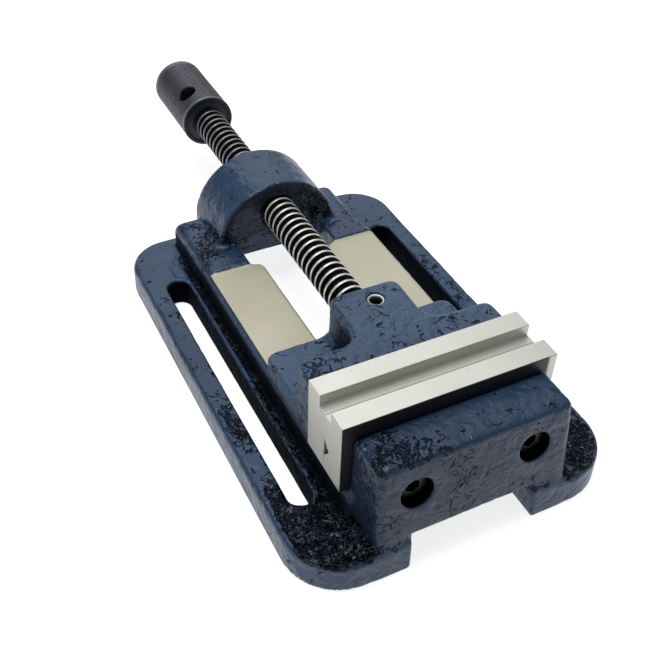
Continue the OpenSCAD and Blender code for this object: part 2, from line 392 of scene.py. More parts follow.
def bevelled_prism(name: str, outline: Sequence[tuple[float, float]], half: float,
                   bevel: float) -> bpy.types.Object:
    """Makes a bar with a constant outline in Y and Z, and breaks its sharp edges.

    Args:
        name: Name of the object.
        outline: Corners of the outline in Y and Z, anticlockwise as seen from +X.
        half: Half of the bar's length along X.
        bevel: Width of the broken edges in millimetres.

    Returns:
        The new object.
    """
    profile = np.array(outline, float)
    count = len(profile)
    ends = [np.column_stack([np.full(count, x), profile]) for x in (-half, half)]
    ring = np.arange(count)
    ahead = (ring + 1) % count
    sides = np.stack([ring, ahead, ahead + count, ring + count], axis=1)
    faces = [*sides.tolist(), ring[::-1].tolist(), (ring + count).tolist()]
    mesh = bpy.data.meshes.new(name)
    mesh.from_pydata(VISE.to_row(np.concatenate(ends)).tolist(), [], faces)
    mesh.update()
    piece = add_object(name, mesh)
    edge = piece.modifiers.new("Broken edges", "BEVEL")
    edge.width = bevel * MM
    edge.segments = 3
    edge.limit_method = "ANGLE"
    edge.angle_limit = math.radians(25.0)
    edge.harden_normals = True
    return piece


@dataclass(frozen=True)
class ViseFrame:
    """Where the vise's own measure lies in the row's frame."""

    jaw_y: float

    def to_row(self, points: np.ndarray) -> np.ndarray:
        """Turns points in millimetres of the vise's own measure into metres of the row's frame."""
        return np.asarray(points, float) * MM + np.array([0.0, self.jaw_y, 0.0])

    def place(self, x: float, y: float, z: float) -> Vector:
        """One point of the vise's own measure, in the row's frame."""
        return Vector(self.to_row(np.array([x, y, z])))


VISE = ViseFrame(jaw_y=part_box("fixed_jaw_plate")[1].y)
AXIS_Z = 0.5 * (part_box("spindle")[0].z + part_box("spindle")[1].z) / MM


# ---------------------------------------------------------------------------
# Materials
# ---------------------------------------------------------------------------


class Value:
    """A number that varies over a surface: a node socket with the arithmetic operators on it."""

    def __init__(self, painter: "Painter", socket: bpy.types.NodeSocket) -> None:
        """Wraps a socket of a painter's node tree."""
        self.painter = painter
        self.socket = socket

    def maths(self, operation: str, *others: "Value | float", clamp: bool = False) -> "Value":
        """Adds one Math node on this value and the others."""
        links = {0: self} | {i + 1: other for i, other in enumerate(others)}
        node = self.painter.node("ShaderNodeMath", {"operation": operation, "use_clamp": clamp}, links)
        return Value(self.painter, node.outputs[0])

    def __add__(self, other: "Value | float") -> "Value":
        """This value plus another."""
        return self.maths("ADD", other)

    __radd__ = __add__

    def __sub__(self, other: "Value | float") -> "Value":
        """This value less another."""
        return self.maths("SUBTRACT", other)

    def __rsub__(self, other: float) -> "Value":
        """A number less this value."""
        return self.maths("MULTIPLY", -1.0).maths("ADD", other)

    def __mul__(self, other: "Value | float") -> "Value":
        """This value times another."""
        return self.maths("MULTIPLY", other)

    __rmul__ = __mul__

    def __truediv__(self, other: "Value | float") -> "Value":
        """This value over another."""
        return self.maths("DIVIDE", other)

    def __pow__(self, other: "Value | float") -> "Value":
        """This value to a power."""
        return self.maths("POWER", other)

    def __abs__(self) -> "Value":
        """This value without its sign."""
        return self.maths("ABSOLUTE")

    def least(self, other: "Value | float") -> "Value":
        """The smaller of this value and another."""
        return self.maths("MINIMUM", other)

    def most(self, other: "Value | float") -> "Value":
        """The larger of this value and another."""
        return self.maths("MAXIMUM", other)

    def rise(self, low: float, high: float, edge: float = 0.0) -> "Value":
        """A smooth rise from 0 to 1, or a fall when low is the larger.

        Args:
            low: Where the result is 0, measured from the edge.
            high: Where the result is 1, measured from the edge.
            edge: Place that the rise belongs to.

        Returns:
            The share of the rise, from 0 to 1.
        """
        settings = {"interpolation_type": "SMOOTHSTEP", "clamp": True}
        values = {"From Min": edge + low, "From Max": edge + high, "To Min": 0.0, "To Max": 1.0}
        node = self.painter.node("ShaderNodeMapRange", settings, {"Value": self} | values)
        return Value(self.painter, node.outputs["Result"])


def apart(u: Value, v: Value) -> Value:
    """Length of a step of u one way and of v across it."""
    return (u * u + v * v) ** 0.5


class Painter:
    """Builds one material around a Principled shader."""

    def __init__(self, name: str) -> None:
        """Starts an empty material.

        Args:
            name: Name of the material.
        """
        self.material = bpy.data.materials.new(name)
        self.material.use_nodes = True
        self.tree = self.material.node_tree
        self.tree.nodes.clear()
        self.shader = self.tree.nodes.new("ShaderNodeBsdfPrincipled")
        output = self.tree.nodes.new("ShaderNodeOutputMaterial")
        self.tree.links.new(self.shader.outputs[0], output.inputs["Surface"])
        place = self.node("ShaderNodeTexCoord", {}, {})
        self.place = place.outputs["Object"]

    def plug(self, socket: bpy.types.NodeSocket, value: object) -> None:
        """Links an input to an output, or sets it to a number, a vector or a colour.

        Args:
            socket: The input.
            value: A Value, an output, a number or a tuple.
        """
        source = value.socket if isinstance(value, Value) else value
        if isinstance(source, bpy.types.NodeSocket):
            self.tree.links.new(source, socket)
        elif socket.type == "RGBA":
            socket.default_value = (*source, 1.0)
        else:
            socket.default_value = source

    def node(self, kind: str, settings: dict[str, object],
             values: dict[str | int, object]) -> bpy.types.Node:
        """Adds a node.

        Args:
            kind: The node's type.
            settings: Properties to set first.
            values: What is plugged into its inputs, by name or number.

        Returns:
            The new node.
        """
        made = self.tree.nodes.new(kind)
        for name, value in settings.items():
            setattr(made, name, value)
        for key, value in values.items():
            self.plug(made.inputs[key], value)
        return made

    def axis(self, index: int) -> Value:
        """One coordinate of the surface point, in metres of the row's frame."""
        split = self.node("ShaderNodeSeparateXYZ", {}, {0: self.place})
        return Value(self, split.outputs[index])

    def in_mm(self) -> tuple[Value, Value, Value]:
        """The surface point in millimetres of the vise's own measure."""
        x, y, z = self.axis(0), self.axis(1), self.axis(2)
        return x * (1.0 / MM), (y - VISE.jaw_y) * (1.0 / MM), z * (1.0 / MM)

    def stretched(self, scale: Sequence[float]) -> bpy.types.NodeSocket:
        """The surface point scaled along each axis, for patterns that are longer one way."""
        values = {"Vector": self.place, "Scale": tuple(scale)}
        return self.node("ShaderNodeMapping", {"vector_type": "POINT"}, values).outputs[0]

    def noise(self, per_metre: float, detail: float = 2.0, rough: float = 0.5, warp: float = 0.0,
              place: bpy.types.NodeSocket | None = None) -> Value:
        """Cloudy noise from 0 to 1.

        Args:
            per_metre: How many clouds fit in a metre.
            detail: Number of finer layers.
            rough: Strength of the finer layers.
            warp: How much the pattern is distorted.
            place: Where the pattern is read, or None for the surface point.

        Returns:
            The noise.
        """
        values = {
            "Vector": place or self.place, "Scale": per_metre, "Detail": detail,
            "Roughness": rough, "Distortion": warp,
        }
        return Value(self, self.node("ShaderNodeTexNoise", {}, values).outputs[0])

    def mix(self, amount: "Value | float", first: object, second: object) -> bpy.types.NodeSocket:
        """Mixes two colours: the first at 0 and the second at 1."""
        values = {0: amount, 6: first, 7: second}
        return self.node("ShaderNodeMix", {"data_type": "RGBA"}, values).outputs[2]

    def bump(self, height: Value, depth: float,
             under: bpy.types.NodeSocket | None = None) -> bpy.types.NodeSocket:
        """Turns a height from 0 to 1 into a normal.

        Args:
            height: The height.
            depth: What a height of 1 measures, in metres.
            under: A normal that this one is laid on.

        Returns:
            The normal.
        """
        values: dict[object, object] = {"Height": height, "Distance": depth, "Strength": 1.0}
        if under is not None:
            values["Normal"] = under
        return self.node("ShaderNodeBump", {}, values).outputs[0]

    def finish(self, **values: object) -> bpy.types.Material:
        """Sets the shader's inputs, with underscores for spaces, and returns the material."""
        for name, value in values.items():
            self.plug(self.shader.inputs[name.replace("_", " ")], value)
        return self.material


@dataclass(frozen=True)
class Enamel:
    """Blue-grey enamel over cast iron, whose skin is scattered with short curved wrinkles.

    A wrinkle runs where a slow noise passes through its middle value, so it is curved and thin. A
    second noise keeps short parts of these lines: few where the crowding is near 0, all where it is
    near 1. Each layer of wrinkles has its noises stretched another way. The wrinkle lines, the bores
    and other recesses and the dense zones are darkened as painted shade, and light ridges in the
    dense zones are painted highlights.
    """

    name: str
    colour: Colour = (0.0190, 0.0425, 0.088)
    # Painted shade: the darker tone of the dense wrinkle zones and of the faces that shade() darkens.
    shaded_tone: Colour = (0.0045, 0.0060, 0.0120)
    # Painted shade: the near-black of the wrinkle lines and of bores and other recesses.
    shade_black: Colour = (0.0012, 0.0014, 0.0022)
    # Painted highlight: the light ridges in the dense wrinkle zones.
    glint: Colour = (0.085, 0.104, 0.135)
    cell: float = 0.0040
    stretch: float = 2.2
    relief: float = 0.0017
    turns: tuple[Colour, ...] = ((0.0, 0.3, 0.4), (0.2, 0.0, 1.3), (0.3, 0.2, 2.2), (0.1, 1.1, 2.8))
    ridge_turns: tuple[Colour, ...] = ((1.0, 0.5, 0.9), (0.4, 0.9, 2.5))

    def crowding(self, paint: Painter) -> Value:
        """How much of the wrinkles is kept, from 0 to 1, over the whole casting."""
        return paint.noise(34.0, 2.0, 0.5).rise(0.40, 0.75) * 0.34 + 0.05

    def hollow_shade(self, paint: Painter) -> Value:
        """How much painted shade darkens bores and other recesses, from 0 to 1."""
        x, _, z = paint.in_mm()
        return apart(x, z - AXIS_Z).rise(0.55, 0.15, MovingCasting.bore) * 0.9

    def shade(self, paint: Painter) -> Value:
        """How much painted shade darkens the enamel low down, by the ways, from 0 to 1."""
        return paint.in_mm()[2].rise(1.65, -2.35, MovingCasting.floor) * 0.2

    def wrinkle_layer(self, paint: Painter, turn: Colour, crowd: Value) -> Value:
        """The wrinkles of one layer.

        Args:
            paint: The painter of the material.
            turn: How the layer's noises are turned, as three angles.
            crowd: The crowding.

        Returns:
            1 in the middle of a wrinkle and 0 beside it.
        """
        mapping = {"Vector": paint.place, "Rotation": turn, "Scale": (self.stretch, 1.0, 1.0)}
        place = paint.node("ShaderNodeMapping", {"vector_type": "TEXTURE"}, mapping).outputs[0]
        level = abs(paint.noise(1.0 / self.cell, 1.0, 0.5, 0.8, place) - 0.5)
        gate = paint.noise(0.9 / self.cell, 0.0, 0.5, 0.0, place) + crowd * 0.60
        return (level / (crowd * 0.008 + 0.030)).rise(1.45, 0.35) * gate.rise(0.79, 0.85)

    def wrinkles(self, paint: Painter, crowd: Value) -> Value:
        """The wrinkles of all layers together."""
        layers = [self.wrinkle_layer(paint, turn, crowd) for turn in self.turns]
        joined = layers[0]
        for layer in layers[1:]:
            joined = joined.most(layer)
        return joined

    def build(self) -> bpy.types.Material:
        """Mixes the paint."""
        paint = Painter(self.name)
        crowd = self.crowding(paint)
        lines = self.wrinkles(paint, crowd)
        dense = crowd.rise(0.42, 0.78)
        hollow_shade = self.hollow_shade(paint)
        # Painted shade: the wrinkle lines and the recesses go nearly black, and turn metallic so that they
        # reflect little.
        crevice_shade = (lines * (dense * 0.2 + 0.7)).most(hollow_shade)
        cloud = paint.noise(16.0, 3.0, 0.6).rise(0.3, 0.7)
        tone = paint.mix(cloud, tuple(0.78 * c for c in self.colour), tuple(1.22 * c for c in self.colour))
        # Painted shade: the dense wrinkle zones and the faces from shade() take the darker tone.
        tone = paint.mix((dense * 0.70).most(self.shade(paint)), tone, self.shaded_tone)
        colour = paint.mix(crevice_shade * 0.97, tone, self.shade_black)
        # Painted highlight: light ridges in patches of the dense zones.
        wear_and_glint = dense * paint.noise(180.0, 1.0, 0.5).rise(0.40, 0.62) * (1.0 - hollow_shade)
        ridges = [self.wrinkle_layer(paint, turn, crowd - 0.05) for turn in self.ridge_turns]
        glints = ridges[0].most(ridges[1]) * wear_and_glint
        colour = paint.mix(glints * 0.8, colour, self.glint)
        lumps = paint.noise(120.0, 3.0, 0.55, 0.4)
        peel = paint.noise(500.0, 2.0, 0.5)
        normal = paint.bump(lumps, 0.0014)
        normal = paint.bump(peel, 0.00008, normal)
        normal = paint.bump(1.0 - lines + glints * 0.8, self.relief, normal)
        gloss = (0.34 + (paint.noise(60.0, 2.0) - 0.5) * 0.25 - dense * 0.10).most(hollow_shade)
        return paint.finish(Base_Color=colour, Metallic=crevice_shade * 0.9 * (1.0 - glints), Roughness=gloss,
                            Normal=normal, Specular_IOR_Level=0.34, Specular_Tint=(0.78, 0.86, 1.0))


@dataclass(frozen=True)
class BaseEnamel(Enamel):
    """The base's enamel: wrinkles thickest by the rails and at the front, and painted shade."""

    def crowding(self, paint: Painter) -> Value:
        """How much of the wrinkles is kept, over the whole casting.

        Most is kept in the troughs, at the front and on the jaw block's top left. Every mask is a
        product of rises across the casting's edges.
        """
        x, y, z = paint.in_mm()
        wide = abs(x)
        cast = BaseCasting
        top = z.rise(-2.9, -1.7, cast.flange) * z.rise(4.5, 0.5, cast.flange)
        strip = abs(wide - cast.trough_x + 0.4).rise(2.7, 1.5) * y.rise(-8.0, -29.0, cast.rear)
        rim = wide.rise(-2.0, -5.5, cast.half_width) * y.rise(0.5, 4.0, cast.front)
        front = y.rise(14.0, -10.0) * rim * x.rise(20.0, -45.0).most(0.75)
        flange = y.rise(-24.0, -194.0, cast.rear) * 0.62 * rim * top
        block = z.rise(-4.2, -0.7, cast.jaw_top) * x.rise(-14.0, -34.0)
        block = block * y.rise(15.0, 3.0, cast.seat) * 0.38
        face = y.rise(1.0, -15.0, cast.seat) * z.rise(-1.5, 14.5, cast.flange) * 0.18
        arch = y.rise(-0.9, -0.3, cast.boss_front) * y.rise(2.0, 1.0, cast.boss_front)
        arch = arch * z.rise(-0.3, 2.7, cast.way_top) * x.rise(-10.0, 20.0) * 0.6
        shoulder = y.rise(0.5, 7.5, cast.way_rear) * z.rise(-1.3, 0.7, cast.way_top)
        shoulder = shoulder * z.rise(11.7, 1.7, cast.way_top) * 0.42
        foot = y.rise(-2.5, 0.5, cast.boss_front) * y.rise(9.5, 2.0, cast.boss_front)
        foot = foot * wide.rise(-3.6, -9.6, cast.boss_r) * z.rise(8.5, 4.5, cast.boss_z) * 0.45
        patches = paint.noise(40.0, 2.0, 0.5).rise(0.35, 0.65)
        marks = (flange + shoulder + face + arch + foot) * (patches + 0.3) + patches * 0.12
        return (marks + top * (strip * 0.95).most(front * 0.85) + block).least(0.95)

    def hollow_shade(self, paint: Painter) -> Value:
        """How much painted shade darkens bores, slots and channel and down the outsides of the rails."""
        x, y, z = paint.in_mm()
        wide = abs(x)
        cast = BaseCasting
        bore = apart(x, z - AXIS_Z).rise(0.55, 0.15, cast.bore) * y.rise(100.0, 110.0)
        screws = apart(wide - cast.screw_x, z - cast.screw_z).rise(0.4, 0.1, cast.counterbore)
        screws = screws * y.rise(15.0, 5.0, cast.seat)
        slots = abs(wide - cast.slot_x).rise(0.7, 0.3, cast.slot_r) * z.rise(-0.2, -1.7, cast.flange)
        slots = slots * y.rise(2.0, 1.0, cast.slot_rear) * y.rise(-3.0, -2.0, cast.slot_front)
        rails = abs(wide - cast.rail_half - 0.2).rise(1.6, 0.9) * z.rise(-2.3, -4.8, cast.way_top)
        rails = rails * z.rise(-3.5, -1.5, cast.flange) * y.rise(-1.4, -3.4, cast.rail_rear)
        rails = rails * y.rise(-5.0, 1.0, cast.seat)
        return bore.most(screws).most(slots).most(rails * 0.8)

    def shade(self, paint: Painter) -> Value:
        """How much painted shade darkens the faces of the jaw block, the boss and the channel."""
        _, y, z = paint.in_mm()
        cast = BaseCasting
        block = z.rise(-1.2, -6.2, cast.jaw_top) * 0.28 + 0.26
        block = block * y.rise(10.0, -1.0, cast.seat) * z.rise(-0.5, 4.5, cast.flange)
        boss = y.rise(2.0, 0.0, cast.boss_front) * y.rise(-18.5, -0.5, cast.boss_front)
        boss = boss * z.rise(0.2, 4.7, cast.way_top) * 0.90
        return block.most(boss)


@dataclass(frozen=True)
class JawEnamel(Enamel):
    """The moving jaw's enamel: wrinkles thickest behind the plate and beside the nose, and painted shade."""

    colour: Colour = (0.029, 0.060, 0.112)

    def corners(self, x: Value, y: Value, z: Value) -> Value:
        """How near a point is to the upright corners between nose and bar, from 0 to 1."""
        cast = MovingCasting
        along = (y - cast.bar_rear - 9.5) * 0.55
        across = abs(x) - cast.nose_half - 3.7
        return (along * along + across * across).rise(90.0, 20.0) * z.rise(-2.5, -8.0, cast.top)

    def crowding(self, paint: Painter) -> Value:
        """How much of the wrinkles is kept."""
        x, y, z = paint.in_mm()
        patches = paint.noise(40.0, 2.0, 0.5).rise(0.35, 0.65)
        cast = MovingCasting
        behind = y.rise(29.0, 5.0, cast.front) * z.rise(-4.0, -2.0, cast.top) * 0.15
        marks = patches * 0.16 + 0.06 + behind * (patches + 0.4)
        return (marks + self.corners(x, y, z) * 0.35).least(0.95)

    def hollow_shade(self, paint: Painter) -> Value:
        """How much painted shade darkens the bore and the corners beside the nose."""
        x, y, z = paint.in_mm()
        corners = self.corners(x, y, z) * z.rise(-1.0, 3.0, MovingCasting.wing_top) * 0.7
        return Enamel.hollow_shade(self, paint).most(corners)


@dataclass(frozen=True)
class WayMetal:
    """Machined bare iron of the ways, a little warm and dull."""

    dark: Colour = (0.38, 0.36, 0.275)
    light: Colour = (0.45, 0.43, 0.335)
    oil: Colour = (0.42, 0.36, 0.19)
    marks: float = 0.00004

    def build(self) -> bpy.types.Material:
        """Mixes the metal."""
        paint = Painter("Way metal")
        wide = abs(paint.in_mm()[0])
        cutter = paint.noise(60.0, 3.0, 0.6, 0.0, paint.stretched((1.0, 9.0, 1.0)))
        cloud = paint.noise(16.0, 2.0, 0.5)
        edge = wide.rise(-3.4, -0.1, BaseCasting.way_half) + wide.rise(3.7, 0.1, BaseCasting.gap_half)
        stain = (paint.noise(120.0, 3.0, 0.6) * edge).rise(0.4, 0.9) * 0.5
        plain = paint.mix(cloud.rise(0.3, 0.7), self.dark, self.light)
        colour = paint.mix(stain, plain, self.oil)
        return paint.finish(Base_Color=colour, Metallic=0.25, Roughness=0.42 + cutter * 0.15,
                            Normal=paint.bump(cutter, self.marks))


@dataclass(frozen=True)
class GroundSteel:
    """Surface-ground hardened steel of the jaw plates: black backs, painted shade in the V groove."""

    dark: Colour = (0.52, 0.52, 0.475)
    light: Colour = (0.57, 0.57, 0.525)
    speckle: Colour = (0.30, 0.29, 0.27)
    black: Colour = (0.010, 0.011, 0.015)
    marks: float = 0.00001

    def build(self) -> bpy.types.Material:
        """Mixes the metal."""
        paint = Painter("Ground steel")
        lines = paint.noise(90.0, 4.0, 0.7, 0.0, paint.stretched((0.6, 22.0, 22.0)))
        cloud = paint.noise(22.0, 3.0, 0.6)
        speck = paint.noise(260.0, 3.0, 0.6).rise(0.66, 0.74)
        plain = paint.mix(cloud.rise(0.3, 0.7), self.dark, self.light)
        colour = paint.mix(speck * 0.3, plain, self.speckle)
        x, y, z = paint.in_mm()
        plate = JawPlates
        back = abs(y).rise(-0.4, -0.15, plate.thick) * x.rise(-3.0, -5.0, plate.half)
        # Painted shade: the V groove is darkened towards black.
        groove = y.rise(0.0, -0.2) * y.rise(-0.3, -0.1, -plate.groove_depth)
        groove = groove * abs(z - plate.groove_z).rise(0.1, -0.2, plate.groove_half)
        groove = groove * abs(x).rise(-0.1, -0.5, plate.half)
        back = back.most(groove * 0.6)
        colour = paint.mix(back, colour, self.black)
        rough = 0.42 + (lines - 0.5) * 0.12 + speck * 0.12
        return paint.finish(Base_Color=colour, Metallic=0.72 - back * 0.4, Roughness=rough,
                            Normal=paint.bump(lines, self.marks))


@dataclass(frozen=True)
class ThreadSteel:
    """Flanks in painted shade and crests bright from wear, parted by distance from the spindle's axis.

    The crests are bright as far as the nut reaches and nearly as dark as the flanks beyond it.
    """

    crest: float
    dull: Colour = (0.56, 0.56, 0.54)
    bright: Colour = (0.74, 0.73, 0.71)
    unused: Colour = (0.10, 0.10, 0.12)
    flank_shade: Colour = (0.002, 0.002, 0.0025)

    def build(self) -> bpy.types.Material:
        """Mixes the metal."""
        paint = Painter("Thread steel")
        x, y, z = paint.in_mm()
        wear_and_glint = apart(x, z - AXIS_Z).rise(-0.30, -0.03, self.crest)
        streak = paint.noise(220.0, 3.0, 0.6)
        bright = paint.mix(streak.rise(0.35, 0.65), self.dull, self.bright)
        beyond = y.rise(-19.0, 1.0, BaseCasting.rear)
        crest = paint.mix(beyond * 0.75, bright, self.unused)
        # Painted shade: away from the crests the thread is near black.
        colour = paint.mix(wear_and_glint, self.flank_shade, crest)
        rough = 0.5 - wear_and_glint * 0.14 + (streak - 0.5) * 0.2
        return paint.finish(Base_Color=colour, Metallic=wear_and_glint * 0.55, Roughness=rough, Specular_IOR_Level=0.12,
                            Normal=paint.bump(streak, 0.00004))


@dataclass(frozen=True)
class RimmedSteel:
    """The retaining screw's steel: bright rim round its socket, painted shade inside and below it."""

    x: float
    y: float
    rim: float
    top: float
    dull: Colour = (0.40, 0.40, 0.40)
    light: Colour = (0.62, 0.62, 0.60)
    black: Colour = (0.006, 0.006, 0.007)

    def build(self) -> bpy.types.Material:
        """Mixes the metal."""
        paint = Painter("Rimmed steel")
        x, y, z = paint.in_mm()
        bright = apart(x - self.x, y - self.y).rise(-0.15, 0.15, self.rim) * z.rise(-0.7, -0.4, self.top)
        cloud = paint.noise(300.0, 2.0, 0.5)
        metal = paint.mix(cloud, self.dull, self.light)
        # Painted shade: near black inside the socket and down the sides in the pocket.
        colour = paint.mix(bright, self.black, metal)
        return paint.finish(Base_Color=colour, Metallic=bright * 0.9, Roughness=0.35 + cloud * 0.1,
                            Specular_IOR_Level=0.2)


@dataclass(frozen=True)
class KnurledSteel:
    """Blued steel whose knurl points, furthest from the axis, are lighter from wear and painted highlight."""

    crest: float
    depth: float
    blued: Colour = (0.014, 0.015, 0.020)
    points: Colour = (0.130, 0.136, 0.172)
    face: Colour = (0.013, 0.017, 0.028)

    def build(self) -> bpy.types.Material:
        """Mixes the metal."""
        paint = Painter("Knurled steel")
        x, y, z = paint.in_mm()
        radius = apart(x, z - AXIS_Z)
        wear_and_glint = radius.rise(self.depth * -0.8, self.depth * -0.1, self.crest)
        face = y.rise(2.4, 0.9, SpindleHead.front) * radius.rise(-0.5, -1.2, self.crest)
        cloud = paint.noise(70.0, 3.0, 0.6)
        rings = paint.noise(900.0, 2.0, 0.5)
        # Lighter knurl points: partly wear, partly painted highlight.
        side = paint.mix(wear_and_glint * (0.5 + cloud * 0.6), self.blued, self.points)
        colour = paint.mix(face, side, self.face)
        return paint.finish(Base_Color=colour, Metallic=0.5, Roughness=0.45 + (cloud - 0.5) * 0.2,
                            Normal=paint.bump(rings, 0.00003))


@dataclass(frozen=True)
class DarkSteel:
    """Blued or oiled steel with fine turning marks."""

    name: str
    colour: Colour
    roughness: float
    metallic: float = 0.6

    def build(self) -> bpy.types.Material:
        """Mixes the metal."""
        paint = Painter(self.name)
        cloud = paint.noise(70.0, 3.0, 0.6)
        fine = paint.noise(900.0, 2.0, 0.5)
        colour = paint.mix(cloud.rise(0.3, 0.7), tuple(0.75 * c for c in self.colour),
                           tuple(1.3 * c for c in self.colour))
        rough = self.roughness + (cloud - 0.5) * 0.2
        return paint.finish(Base_Color=colour, Metallic=self.metallic, Roughness=rough,
                            Normal=paint.bump(fine, 0.00003))


# ---------------------------------------------------------------------------
# Sub-assemblies
# ---------------------------------------------------------------------------


def adopt(piece: bpy.types.Object, body: Body, slot: Slot, material: bpy.types.Material | None,
          *nodes: str) -> None:
    """Paints a piece, gives it its body, and lets it stand for CAD nodes.

    Args:
        piece: The piece.
        body: The body that it rides on.
        slot: The record's slot that it takes its finish from. Not used.
        material: Its material, or None where its mesh has its own already.
        *nodes: CAD nodes that it replaces.
    """
    if material is not None:
        piece.data.materials.append(material)
    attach(piece, body.value)
    if nodes:
        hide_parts(*nodes)
    log.info("%s rides on %s and stands for %s", piece.name, body.value, ", ".join(nodes) or "nothing")


@dataclass(frozen=True)
class SandSkin:
    """The uneven skin that sand leaves on a casting. Sizes in millimetres."""

    depth: float = 0.45
    dent: float = 11.0
    wrinkle: float = 3.4
    wrinkle_width: float = 0.12
    bend: float = 3.0
    bend_cell: float = 6.0
    patch: float = 17.0

    def move(self, points: np.ndarray, field: Field, keep: np.ndarray, seed: int) -> np.ndarray:
        """Moves points along their normals, in or out, by broad dents and patches of short wrinkles.

        Args:
            points: Points on the casting.
            field: The casting's distance field.
            keep: 0 where the surface is cast and 1 where it is machined and stays.
            seed: Seed of the unevenness.

        Returns:
            The moved points.
        """
        slope = gradient(field, points)
        normal = slope / np.maximum(np.linalg.norm(slope, axis=1), 1e-6)[:, None]
        broad = value_noise(points, self.dent, seed)
        bends = [value_noise(points, self.bend_cell, seed + 1 + i) for i in range(3)]
        bent = points + self.bend * np.stack(bends, axis=1)
        level = np.abs(value_noise(bent, self.wrinkle, seed + 5) - 0.5)
        wrinkle = 1.0 - np.clip(level / self.wrinkle_width, 0.0, 1.0)
        patches = smooth_step(value_noise(points, self.patch, seed + 6), 0.35, 0.65)
        depth = self.depth * (0.5 * broad + 0.5 * wrinkle * patches - 0.4) * (1.0 - keep)
        return points - normal * depth[:, None]


